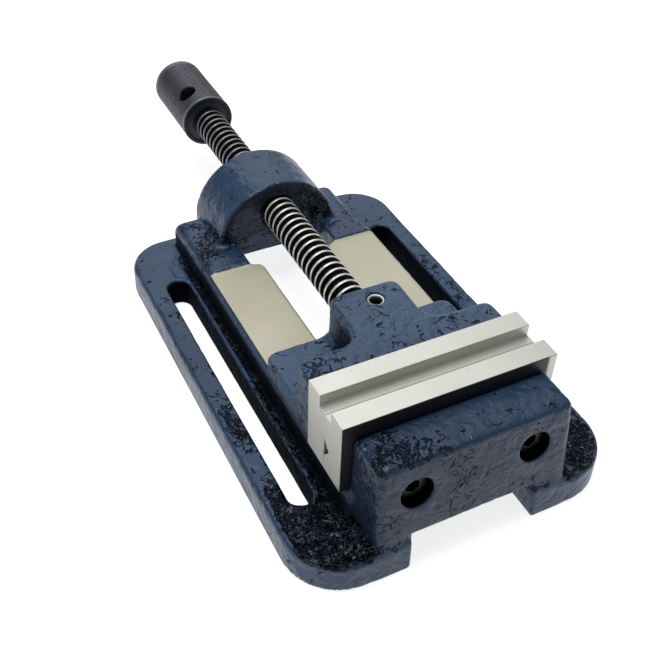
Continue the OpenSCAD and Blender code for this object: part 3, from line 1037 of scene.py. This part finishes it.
@dataclass(frozen=True)
class BaseCasting:
    """The base: flanges with their slots, ways, fixed jaw block and nut boss. Sizes in millimetres."""

    half_width: float = 77.0
    front: float = -42.0
    rear: float = 194.0
    front_corner: float = 26.0
    rear_corner: float = 22.0
    flange: float = 15.5
    slot_x: float = 60.0
    slot_r: float = 5.9
    slot_front: float = -5.0
    slot_rear: float = 156.0
    way_half: float = 46.4
    way_top: float = 28.3
    way_rear: float = 137.5
    rail_half: float = 48.4
    rail_top: float = 29.4
    rail_rear: float = 188.4
    gap_half: float = 18.3
    gap_front: float = 2.0
    rear_gap_half: float = 24.5
    trough_x: float = 50.2
    trough_rear: float = 176.0
    sunk: float = 0.7
    channel_half: float = 29.5
    channel_top: float = 19.5
    seat: float = -15.0
    jaw_top: float = 58.2
    jaw_half: float = 44.9
    jaw_draft: float = 1.4
    jaw_slope: float = 6.6
    screw_x: float = 27.6
    screw_z: float = 41.5
    counterbore: float = 7.2
    screw_seat: float = -25.5
    screw_hole: float = 4.5
    boss_front: float = 156.5
    boss_r: float = 33.6
    boss_z: float = 25.5
    bore: float = 9.05
    step: float = 1.1

    def outline(self, x: np.ndarray, y: np.ndarray) -> np.ndarray:
        """Distance in plan to the rim of the flanges."""
        return rounded_plan(x, y, self.half_width, self.front, self.rear, self.front_corner,
                            self.rear_corner)

    def slot_plan(self, x: np.ndarray, y: np.ndarray) -> np.ndarray:
        """Distance in plan to the clamping slots."""
        return capsule_plan(np.abs(x), y, self.slot_x, self.slot_front, self.slot_rear, self.slot_r)

    def flange_field(self, x: np.ndarray, y: np.ndarray, z: np.ndarray) -> np.ndarray:
        """The flanges.

        The top is level at the rim and round the slots. Between them it is sunk by a little at the
        front and beside the rails, and a narrow trough runs along the foot of each rail.
        """
        plan = self.outline(x, y)
        inner = smooth_step(-np.abs(x), -self.slot_x, 3.0 - self.slot_x)
        inner = inner * smooth_step(-y, -self.trough_rear, 10.0 - self.trough_rear)
        front = smooth_step(-y, -2.0, 8.0)
        sunk = self.sunk * np.maximum(inner, front) * smooth_step(self.slot_plan(x, y), 2.2, 2.9)
        sunk = sunk * smooth_step(-plan, 3.0, 3.8)
        trough = self.sunk * smooth_step(-np.abs(np.abs(x) - self.trough_x), -2.3, -1.5)
        trough = trough * smooth_step(-y, -self.trough_rear, 8.0 - self.trough_rear)
        plate = soft_max(plan + 0.03 * np.maximum(z, 0.0), z - self.flange + sunk + trough, 3.2)
        return np.maximum(plate, -z)

    def jaw_field(self, x: np.ndarray, y: np.ndarray, z: np.ndarray) -> np.ndarray:
        """The fixed jaw block: sloped front, drafted sides, flat seat for its plate."""
        lean = self.jaw_slope / self.jaw_top
        front = (self.front + lean * z - y) / math.hypot(1.0, lean)
        sides = np.abs(x) - self.jaw_half - self.jaw_draft * (1.0 - z / self.jaw_top)
        block = soft_max(front, sides, 3.4)
        block = soft_max(block, z - self.jaw_top, 2.4)
        return soft_max(block, y - self.seat, 1.0)

    def rail_field(self, x: np.ndarray, y: np.ndarray, z: np.ndarray) -> np.ndarray:
        """The rails with their rounded shoulders, cut level where the ways are machined."""
        behind = smooth_step(y, self.way_rear, self.way_rear + 14.0)
        sides = np.abs(x + 1.4 * behind) - self.rail_half + 1.2 * behind
        rail = soft_max(sides, slab(y, self.seat - 6.0, self.rail_rear), 4.0)
        rail = soft_max(rail, z - self.rail_top, 6.4)
        machined = np.maximum(y - self.way_rear, self.seat - y)
        return np.maximum(rail, np.minimum(z - self.way_top, -machined))

    def boss_field(self, x: np.ndarray, y: np.ndarray, z: np.ndarray) -> np.ndarray:
        """The arch of the nut boss."""
        drop = np.maximum(self.boss_z - z, 0.0)
        arch = np.hypot(x, np.maximum(z - self.boss_z, 0.0)) - self.boss_r - 0.05 * drop
        return soft_max(arch, slab(y, self.boss_front, self.rear), 2.6)

    def gap_plan(self, x: np.ndarray, y: np.ndarray) -> np.ndarray:
        """Distance in plan to the gap between the ways, wider from their ends to the boss."""
        gap = rounded_plan(x, y, self.gap_half, self.gap_front, self.way_rear + 6.0, 3.0, 3.0)
        behind = rounded_plan(x, y, self.rear_gap_half, self.way_rear - 0.4, self.boss_front, 1.6, 1.0)
        return soft_min(gap, behind, 5.0)

    def field(self, p: np.ndarray) -> np.ndarray:
        """Distance to the whole casting.

        Args:
            p: Points, one row each.

        Returns:
            One distance for each point, negative inside.
        """
        x, y, z = p.T
        solid = soft_min(self.flange_field(x, y, z), self.rail_field(x, y, z), 0.8)
        solid = soft_min(solid, self.boss_field(x, y, z), 2.4)
        solid = soft_min(solid, self.jaw_field(x, y, z), 2.4)
        solid = np.maximum(soft_max(solid, self.outline(x, y), 1.6), -z)
        walls = np.abs(x) - self.channel_half - 0.02 * (self.channel_top - z)
        solid = carve(solid, np.maximum(walls, z - self.channel_top), 1.4)
        solid = carve(solid, np.maximum(self.gap_plan(x, y), z - self.way_top - 3.0), 0.5)
        solid = carve(solid, self.slot_plan(x, y), 1.0)
        beside, above = np.abs(x) - self.screw_x, z - self.screw_z
        counterbore = np.maximum(rod(beside, above, self.counterbore), y - self.screw_seat)
        through = np.maximum(rod(beside, above, self.screw_hole), y - self.seat - 1.0)
        solid = carve(carve(solid, counterbore, 1.2), through, 0.6)
        bore = np.maximum(rod(x, z - AXIS_Z, self.bore), -(y - self.boss_front + 4.0))
        solid = carve(solid, bore, 1.0)
        return np.maximum(solid, -z)

    def machined(self, p: np.ndarray) -> np.ndarray:
        """1 on machined surfaces and at the foot, and 0 on the cast skin."""
        x, y, z = p.T
        ways = smooth_step(-np.abs(z - self.way_top), -0.5, -0.1) * (y < self.way_rear) * (y > self.seat)
        plate_seat = smooth_step(y, self.seat - 1.2, self.seat - 0.4) * (z > 24.0) * (y < 0.0)
        bores = rod(np.abs(x) - self.screw_x, z - self.screw_z, self.counterbore + 0.4)
        bores = smooth_step(-bores, -0.2, 0.0) * (y < self.seat)
        thread = smooth_step(-rod(x, z - AXIS_Z, self.bore + 0.8), -0.4, 0.0) * (y > 100.0)
        foot = smooth_step(-z, -1.2, -0.4)
        inner = smooth_step(-self.gap_plan(x, y), -0.8, -0.4)
        return np.clip(ways + plate_seat + bores + thread + foot + inner, 0.0, 1.0)

    def build(self) -> bpy.types.Object:
        """Makes the mesh of the casting."""
        low = (-self.half_width, self.front, 0.0)
        high = (self.half_width, self.rear, 59.0)
        net = surface_net(self.field, low, high, self.step)
        points = SandSkin().move(net.points, self.field, self.machined(net.points), 11)
        points = np.clip(points, low, (self.half_width, self.rear, 60.0))
        log.info("base casting has %d faces", len(net.quads))
        piece = add_piece("Base_casting", points, net.quads)
        piece.data.materials.append(BaseEnamel("Base enamel").build())
        piece.data.materials.append(WayMetal().build())
        way = self.on_way(points[net.quads]).astype(np.int32)
        piece.data.polygons.foreach_set("material_index", way)
        return piece

    def on_way(self, corners: np.ndarray) -> np.ndarray:
        """Tells which faces lie on the machined ways.

        Args:
            corners: Faces by four corners by 3.

        Returns:
            True for each face that is level and at the height of the ways.
        """
        x, y, z = corners.mean(axis=1).T
        normal = np.cross(corners[:, 2] - corners[:, 0], corners[:, 3] - corners[:, 1])
        level = normal[:, 2] > 0.8 * np.maximum(np.linalg.norm(normal, axis=1), 1e-9)
        inside = (np.abs(x) < self.way_half + 0.4) & (y > self.seat) & (y < self.way_rear + 0.2)
        return level & inside & (np.abs(z - self.way_top) < 0.35)


@dataclass(frozen=True)
class RetainingScrew:
    """The dog-point screw in the nose that keeps the spindle from pulling out."""

    x: float = 2.2
    y: float = 54.0
    top: float = 59.0
    radius: float = 4.0
    dog_r: float = 2.4
    dog_top: float = 52.3
    tip: float = 49.2
    socket: float = 2.0

    def build(self) -> bpy.types.Object:
        """Makes the screw, head end first."""
        rings = [
            Ring(0.3, 4.2, True), Ring(self.socket, 3.8, True), Ring(self.socket, 1.4, True),
            Ring(self.socket + 0.9, 0.6), Ring(self.radius - 0.7, 0.1), Ring(self.radius - 0.2, 0.0),
            Ring(self.radius, 0.3),
            Ring(self.radius, self.top - self.dog_top), Ring(self.dog_r, self.top - self.dog_top + 0.4),
            Ring(self.dog_r, self.top - self.tip - 0.4), Ring(self.dog_r - 0.4, self.top - self.tip),
        ]
        return turned_piece("Retaining_screw", rings, (self.x, self.y, self.top), (0.0, 0.0, -1.0))


@dataclass(frozen=True)
class MovingCasting:
    """The moving jaw: a bar behind the plate, a nose round the spindle, low wings and a tongue."""

    front: float = 15.0
    bar_rear: float = 32.5
    rear: float = 64.0
    half: float = 48.4
    nose_half: float = 17.3
    top: float = 60.0
    wing_top: float = 37.0
    floor: float = 28.35
    tongue_half: float = 18.2
    tongue_front: float = 18.0
    tongue_rear: float = 60.0
    tongue_bottom: float = 19.35
    screw_x: float = 27.6
    screw_z: float = 46.5
    counterbore: float = 7.2
    screw_seat: float = 24.0
    screw_hole: float = 4.5
    bore: float = 9.05
    bore_front: float = 33.0
    retaining_r: float = 4.05
    step: float = 0.72

    def field(self, p: np.ndarray) -> np.ndarray:
        """Distance to the whole casting.

        Args:
            p: Points, one row each.

        Returns:
            One distance for each point, negative inside.
        """
        x, y, z = p.T
        bar = soft_max(np.abs(x) - self.half, y - self.bar_rear, 5.0)
        nose = soft_max(np.abs(x) - self.nose_half, y - self.rear, 5.0)
        raised = soft_min(bar, nose, 11.0)
        raised = soft_max(raised, z - self.top, 3.0)
        solid = soft_min(raised, z - self.wing_top, 6.0)
        outside = soft_max(np.abs(x) - self.half, y - self.rear, 6.0)
        solid = soft_max(solid, outside, 2.2)
        solid = soft_max(solid, self.front - y, 0.8)
        solid = soft_max(solid, self.floor - z, 0.9)
        tongue = np.maximum(np.abs(x) - self.tongue_half, slab(y, self.tongue_front, self.tongue_rear))
        tongue = np.maximum(tongue, slab(z, self.tongue_bottom, self.floor + 1.0))
        solid = np.minimum(solid, tongue)
        spindle = np.maximum(rod(x, z - AXIS_Z, self.bore), self.bore_front - y)
        solid = carve(solid, spindle, 1.0)
        pocket = rod(x - RetainingScrew.x, y - RetainingScrew.y, self.retaining_r)
        solid = carve(solid, np.maximum(pocket, AXIS_Z - z), 1.2)
        beside, above = np.abs(x) - self.screw_x, z - self.screw_z
        counterbore = np.maximum(rod(beside, above, self.counterbore), self.screw_seat - y)
        through = np.maximum(rod(beside, above, self.screw_hole), y - self.screw_seat - 1.0)
        return carve(carve(solid, counterbore, 1.0), through, 0.5)

    def machined(self, p: np.ndarray) -> np.ndarray:
        """1 on machined surfaces and 0 on the cast skin."""
        x, y, z = p.T
        seat = smooth_step(-y, -(self.front + 1.2), -(self.front + 0.3))
        floor = smooth_step(-z, -(self.floor + 1.2), -(self.floor + 0.4))
        bores = smooth_step(-rod(x, z - AXIS_Z, self.bore + 0.8), -0.4, 0.0)
        pockets = rod(np.abs(x) - self.screw_x, z - self.screw_z, self.counterbore + 0.4)
        hole = rod(x - RetainingScrew.x, y - RetainingScrew.y, self.retaining_r + 0.6)
        holes = smooth_step(-pockets, -0.2, 0.0) + smooth_step(-hole, -0.3, 0.0)
        return np.clip(seat + floor + bores + holes, 0.0, 1.0)

    def build(self) -> bpy.types.Object:
        """Makes the mesh of the casting."""
        low = (-self.half, self.front, self.tongue_bottom)
        high = (self.half, self.rear, self.top)
        net = surface_net(self.field, low, high, self.step)
        points = SandSkin().move(net.points, self.field, self.machined(net.points), 41)
        log.info("moving casting has %d faces", len(net.quads))
        return add_piece("Moving_jaw_casting", points, net.quads)


@dataclass(frozen=True)
class JawPlates:
    """The two ground plates with a ledge along the top, the fixed one with a V groove."""

    half: float = 50.0
    thick: float = 15.0
    top: float = 65.8
    bottom: float = 28.45
    ledge_depth: float = 5.0
    ledge_drop: float = 5.9
    groove_z: float = 41.4
    groove_half: float = 5.2
    groove_depth: float = 4.3
    broken_edge: float = 0.35

    def outline(self, grooved: bool) -> list[tuple[float, float]]:
        """Corners of the fixed plate's outline, with or without its V groove."""
        ledge = self.top - self.ledge_drop
        groove = [
            (0.0, self.groove_z - self.groove_half), (-self.groove_depth, self.groove_z),
            (0.0, self.groove_z + self.groove_half),
        ]
        return [
            (-self.thick, self.bottom), (0.0, self.bottom), *(groove if grooved else []),
            (0.0, ledge), (-self.ledge_depth, ledge), (-self.ledge_depth, self.top),
            (-self.thick, self.top),
        ]

    def build(self) -> tuple[bpy.types.Object, bpy.types.Object]:
        """Makes the fixed and the moving plate."""
        fixed = bevelled_prism("Fixed_plate", self.outline(True), self.half, self.broken_edge)
        mirrored = [(-y, z) for y, z in reversed(self.outline(False))]
        moving = bevelled_prism("Moving_plate", mirrored, self.half, self.broken_edge)
        return fixed, moving


@dataclass(frozen=True)
class CapScrew:
    """A socket cap screw, M8."""

    head_r: float = 6.5
    head: float = 8.0
    shank_r: float = 3.95
    socket: float = 3.0
    socket_depth: float = 4.0
    fixed_shank: float = 19.0
    moving_shank: float = 17.5

    def build(self, name: str, seat: Sequence[float], axis: Sequence[float],
              shank: float) -> bpy.types.Object:
        """Makes the screw.

        Args:
            name: Name of the object.
            seat: Where the axis meets the seat of the head.
            axis: Direction from the head to the tip.
            shank: Length of the shank.

        Returns:
            The new object.
        """
        top = -self.head
        rings = [
            Ring(0.3, top + self.socket_depth + 0.6, True),
            Ring(self.socket, top + self.socket_depth, True),
            Ring(self.socket, top + 0.3, True),
            Ring(self.socket + 0.4, top, True),
            Ring(self.head_r - 1.0, top), Ring(self.head_r - 0.3, top + 0.3), Ring(self.head_r, top + 1.0),
            Ring(self.head_r, -0.3), Ring(self.head_r - 0.3, 0.0),
            Ring(self.shank_r + 0.3, 0.0), Ring(self.shank_r, 0.5),
            Ring(self.shank_r, shank - 0.8), Ring(self.shank_r - 0.8, shank),
        ]
        return turned_piece(name, rings, seat, axis)


@dataclass(frozen=True)
class Keeper:
    """The plate under the ways that holds the moving jaw down, with its two bolts and washers."""

    plate_half: float = 27.0
    plate_front: float = 17.0
    plate_rear: float = 61.0
    plate_bottom: float = 12.85
    plate_top: float = 19.35
    washer: float = 2.0
    washer_r: float = 6.8
    bolt_r: float = 4.0
    flats: float = 13.0
    head: float = 5.3
    reach: float = 9.0
    bolt_front: float = 28.0
    bolt_rear: float = 50.0

    def build(self, steel: bpy.types.Material, zinc: bpy.types.Material) -> None:
        """Makes the plate, the bolts and the washers.

        Args:
            steel: Material of the plate.
            zinc: Material of the bolts and washers.
        """
        outline = [
            (self.plate_front, self.plate_bottom), (self.plate_rear, self.plate_bottom),
            (self.plate_rear, self.plate_top), (self.plate_front, self.plate_top),
        ]
        plate = bevelled_prism("Keeper", outline, self.plate_half, 0.5)
        adopt(plate, Body.MOVING_JAW, Slot.KEEPER_STEEL, steel, "keeper_plate")
        for end, y in (("front", self.bolt_front), ("rear", self.bolt_rear)):
            bolt = turned_piece(f"Keeper_bolt_{end}", self.bolt_rings(), (0.0, y, 0.0), UP)
            adopt(bolt, Body.MOVING_JAW, Slot.BRIGHT_FASTENERS, zinc, f"keeper_bolt_{end}")
            seat = self.plate_bottom - self.washer
            washer = turned_piece(f"Keeper_washer_{end}", self.washer_rings(), (0.0, y, seat), UP)
            adopt(washer, Body.MOVING_JAW, Slot.BRIGHT_FASTENERS, zinc, f"keeper_washer_{end}")

    def bolt_rings(self) -> list[Ring]:
        """Rings of a bolt with a hexagon head, from the underside of its head to its tip."""
        seat = self.plate_bottom - self.washer
        low = seat - self.head
        half = self.flats / 2.0
        tip = self.plate_top + self.reach
        return [
            Ring(half - 0.9, low), Ring(half - 0.2, low + 0.35, True), Ring(half, low + 0.9, True),
            Ring(half, seat, True), Ring(self.bolt_r, seat),
            Ring(self.bolt_r, tip - 0.8), Ring(self.bolt_r - 0.8, tip),
        ]

    def washer_rings(self) -> list[Ring]:
        """Rings of a washer, whose hole is filled by the bolt and needs no bore."""
        inner = self.bolt_r + 0.5
        return [
            Ring(inner, 0.0), Ring(inner, 1e-4), Ring(self.washer_r - 0.3, 0.0), Ring(self.washer_r, 0.3),
            Ring(self.washer_r, self.washer - 0.3), Ring(self.washer_r - 0.3, self.washer),
            Ring(inner, self.washer),
        ]


@dataclass(frozen=True)
class Spindle:
    """The screw: a right-hand trapezoidal thread with a neck for the retaining screw."""

    front: float = 36.0
    neck_front: float = 51.0
    neck_rear: float = 57.0
    neck_r: float = 6.2
    rear: float = 258.6
    crest_r: float = 8.95
    root_r: float = 6.8
    pitch: float = 5.0
    start: float = 0.32
    segments: int = 72
    per_pitch: int = 20

    def radius(self, turn: np.ndarray, y: np.ndarray) -> np.ndarray:
        """Radius of the surface.

        The phase is how far a point is along one pitch of the helix. The radius is a trapezium wave
        of the phase with rounded shoulders, and it falls to the neck and fades at both ends.

        Args:
            turn: Angle round the axis as a share of a turn.
            y: Distance along the axis.

        Returns:
            The radius at each point.
        """
        phase = np.mod(y / self.pitch + turn + self.start, 1.0)
        rise = smooth_step(0.5 - np.abs(phase - 0.5), 0.28, 0.37)
        thread = self.root_r + (self.crest_r - self.root_r) * rise
        fade = smooth_step(y, self.neck_rear, self.neck_rear + 4.0)
        fade = fade * smooth_step(-y, -self.rear, -self.rear + 2.0)
        body = thread * fade + self.root_r * (1.0 - fade)
        journal = np.where(y < self.neck_front, self.crest_r, self.neck_r)
        return np.where(y < self.neck_rear, journal, body)

    def build(self) -> bpy.types.Object:
        """Makes the screw as rings along its axis."""
        steps = int((self.rear - self.neck_rear) / self.pitch * self.per_pitch)
        thread_y = np.linspace(self.neck_rear + 0.02, self.rear, steps)
        plain = [self.front, self.neck_front - 0.01, self.neck_front + 0.01, self.neck_rear - 0.01]
        y = np.concatenate([plain, thread_y])
        turn = np.arange(self.segments) / self.segments
        grid_y, grid_turn = np.meshgrid(y, turn, indexing="ij")
        r = self.radius(grid_turn, grid_y)
        r[0] -= 0.8
        rings = np.stack([r * np.cos(2.0 * math.pi * grid_turn), grid_y,
                          AXIS_Z + r * np.sin(2.0 * math.pi * grid_turn)], axis=-1)
        return tube_piece("Threaded_spindle", rings[:, ::-1])


@dataclass(frozen=True)
class SpindleHead:
    """The knurled head with its collar and its cross hole."""

    front: float = 258.6
    rear: float = 310.6
    radius: float = 15.4
    edge: float = 0.8
    hole_r: float = 5.3
    hole_y: float = 273.6
    hole_tilt: float = 30.0
    collar_r: float = 10.6
    collar: float = 4.0
    dish: float = 0.8
    dish_r: float = 13.6
    raised: float = 0.4
    raised_r: float = 12.0
    knurl_depth: float = 0.36
    knurls: int = 70
    step: float = 0.42

    def field(self, p: np.ndarray) -> np.ndarray:
        """Distance to the head.

        The knurl is two crossed sets of slanting grooves: a sine of the angle plus the length, and
        one of the angle less the length, whose larger value leaves diamonds.

        Args:
            p: Points, one row each.

        Returns:
            One distance for each point, negative inside.
        """
        x, y, z = p.T
        z = z - AXIS_Z
        across = np.hypot(x, z)
        angle = np.arctan2(z, x)
        pace = self.knurls / self.radius
        one = np.abs(np.sin(0.5 * (self.knurls * angle + pace * y)))
        two = np.abs(np.sin(0.5 * (self.knurls * angle - pace * y)))
        band = smooth_step(y, self.front + 2.0, self.front + 3.0)
        band = band * smooth_step(-y, 3.0 - self.rear, 4.0 - self.rear)
        knurl = self.knurl_depth * (1.0 - np.minimum(one, two)) * band
        solid = soft_max(across - self.radius + knurl, slab(y, self.front, self.rear), self.edge)
        dish = self.dish * smooth_step(-across, -self.dish_r, 0.6 - self.dish_r)
        dish = dish - self.raised * smooth_step(-across, -self.raised_r, 0.4 - self.raised_r)
        solid = soft_max(solid, self.front + dish - y, 0.4)
        length = slab(y, self.front + 0.1, self.front + self.collar)
        collar = soft_max(across - self.collar_r, length, 0.5)
        solid = np.minimum(solid, collar)
        tilt = math.radians(self.hole_tilt)
        beside = x * math.cos(tilt) + z * math.sin(tilt)
        return carve(solid, rod(beside, y - self.hole_y, self.hole_r), 1.0)

    def build(self) -> bpy.types.Object:
        """Makes the mesh of the head."""
        low = (-self.radius, self.front, AXIS_Z - self.radius)
        high = (self.radius, self.rear, AXIS_Z + self.radius)
        net = surface_net(self.field, low, high, self.step)
        log.info("head has %d faces", len(net.quads))
        return add_piece("Knurled_head", net.points, net.quads)


@dataclass(frozen=True)
class Studio:
    """A white floor, soft lights and the camera.

    Angles are in degrees, the camera's lengths in millimetres, and the lights' and the floor's in
    metres.
    """

    azimuth: float = -27.14
    elevation: float = 41.55
    roll: float = 1.54
    distance: float = 538.94
    target: tuple[float, float, float] = (14.33, 129.42, -19.86)
    lens: float = 53.82
    floor_side: float = 12.0
    floor_z: float = -0.0002
    floor_glow: float = 0.80
    sky: float = 0.24

    def camera(self) -> None:
        """Places the camera on a sphere round its target and turns it by the roll."""
        azimuth, elevation, roll = (math.radians(v) for v in (self.azimuth, self.elevation, self.roll))
        level = math.cos(elevation)
        back = Vector((math.sin(azimuth) * level, -math.cos(azimuth) * level, math.sin(elevation)))
        side = Vector(UP).cross(back).normalized()
        over = back.cross(side)
        right = math.cos(roll) * side + math.sin(roll) * over
        up = math.cos(roll) * over - math.sin(roll) * side
        turn = Matrix((right, up, back)).transposed().to_4x4()
        data = bpy.data.cameras.new("Camera")
        data.lens = self.lens
        data.sensor_width = 36.0
        data.clip_start = 0.01
        camera = add_object("Camera", data)
        place = VISE.place(*self.target) + back * self.distance * MM
        camera.matrix_world = Matrix.Translation(place) @ turn
        bpy.context.scene.camera = camera

    def light(self, name: str, place: Vector, towards: Vector, size: float, power: float) -> None:
        """Adds one soft square light.

        Args:
            name: Name of the light.
            place: Where it hangs, in metres.
            towards: The point it faces.
            size: Length of its side, in metres.
            power: Its power in watts.
        """
        data = bpy.data.lights.new(name, "AREA")
        data.size = size
        data.energy = power
        lamp = add_object(name, data)
        lamp.location = place
        lamp.rotation_euler = (towards - place).to_track_quat("-Z", "Y").to_euler()

    def floor(self) -> None:
        """Lays the white floor just under the vise."""
        mesh = bpy.data.meshes.new("Floor")
        reach = self.floor_side / 2.0
        sides = ((-reach, -reach), (reach, -reach), (reach, reach), (-reach, reach))
        mesh.from_pydata([(*corner, self.floor_z) for corner in sides], [], [(0, 1, 2, 3)])
        paint = Painter("White floor")
        mesh.materials.append(paint.finish(
            Base_Color=(0.5, 0.5, 0.5), Roughness=0.8, Specular_IOR_Level=0.0,
            Emission_Color=(1.0, 1.0, 1.0), Emission_Strength=self.floor_glow))
        floor = add_object("Floor", mesh)

    def build(self) -> None:
        """Sets the whole stage."""
        world = bpy.data.worlds.new("Studio")
        world.use_nodes = True
        background = world.node_tree.nodes["Background"]
        background.inputs[0].default_value = (1.0, 1.0, 1.0, 1.0)
        background.inputs[1].default_value = self.sky
        bpy.context.scene.world = world
        bpy.context.scene.view_settings.view_transform = "Standard"
        centre = Vector((0.0, -0.03, 0.02))
        self.light("Rear softbox", Vector((0.35, 1.15, 1.15)), centre, size=1.5, power=9.5)
        self.light("Overhead", Vector((-0.15, 0.1, 1.4)), centre, size=0.8, power=14.5)
        self.floor()
        self.camera()


def build_fasteners() -> None:
    """Makes the four jaw plate screws, the retaining screw and the thrust disc's finish."""
    oxide = DarkSteel("Black oxide", (0.012, 0.012, 0.014), 0.38, 0.5).build()
    screw = CapScrew()
    base, jaw = BaseCasting, MovingCasting
    for side, way in (("left", -1.0), ("right", 1.0)):
        seat = (way * base.screw_x, base.screw_seat, base.screw_z)
        fixed = screw.build(f"Fixed_screw_{side}", seat, (0.0, 1.0, 0.0), screw.fixed_shank)
        adopt(fixed, Body.BASE, Slot.BLACK_SCREWS, oxide, f"fixed_plate_screw_{side}")
        seat = (way * jaw.screw_x, jaw.screw_seat, jaw.screw_z)
        moving = screw.build(f"Moving_screw_{side}", seat, (0.0, -1.0, 0.0), screw.moving_shank)
        adopt(moving, Body.MOVING_JAW, Slot.BLACK_SCREWS, oxide, f"moving_plate_screw_{side}")
    bright = DarkSteel("Bright steel", (0.5, 0.5, 0.49), 0.3, 0.9).build()
    keep = RetainingScrew()
    rim = RimmedSteel(keep.x, keep.y, keep.socket + 0.9, keep.top).build()
    adopt(keep.build(), Body.MOVING_JAW, Slot.BRIGHT_FASTENERS, rim, "retaining_screw")
    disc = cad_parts["thrust_disc"].data
    disc.materials.clear()
    disc.materials.append(bright)


def build_vise() -> None:
    """Builds every sub-assembly in order."""
    adopt(BaseCasting().build(), Body.BASE, Slot.CASTING, None, "base")
    enamel = JawEnamel("Moving jaw enamel").build()
    adopt(MovingCasting().build(), Body.MOVING_JAW, Slot.MOVING_CASTING, enamel, "moving_jaw")
    steel = GroundSteel().build()
    fixed, moving = JawPlates().build()
    adopt(fixed, Body.BASE, Slot.JAW_STEEL, steel, "fixed_jaw_plate")
    adopt(moving, Body.MOVING_JAW, Slot.JAW_STEEL, steel, "moving_jaw_plate")
    build_fasteners()
    zinc = DarkSteel("Zinc plate", (0.42, 0.43, 0.45), 0.32, 0.9).build()
    Keeper().build(DarkSteel("Oiled steel", (0.13, 0.13, 0.14), 0.42, 0.8).build(), zinc)
    spindle = Spindle()
    thread = ThreadSteel(spindle.crest_r).build()
    adopt(spindle.build(), Body.SPINDLE, Slot.SPINDLE_STEEL, thread, "spindle")
    head = SpindleHead()
    knurled = KnurledSteel(head.radius, head.knurl_depth).build()
    adopt(head.build(), Body.SPINDLE, Slot.HEAD_STEEL, knurled, "spindle_head")


def main() -> None:
    """Builds the stage and the vise."""
    logging.basicConfig(level=logging.INFO, format="%(name)s: %(message)s")
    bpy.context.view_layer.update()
    Studio().build()
    build_vise()


if __name__ == "__main__":
    main()
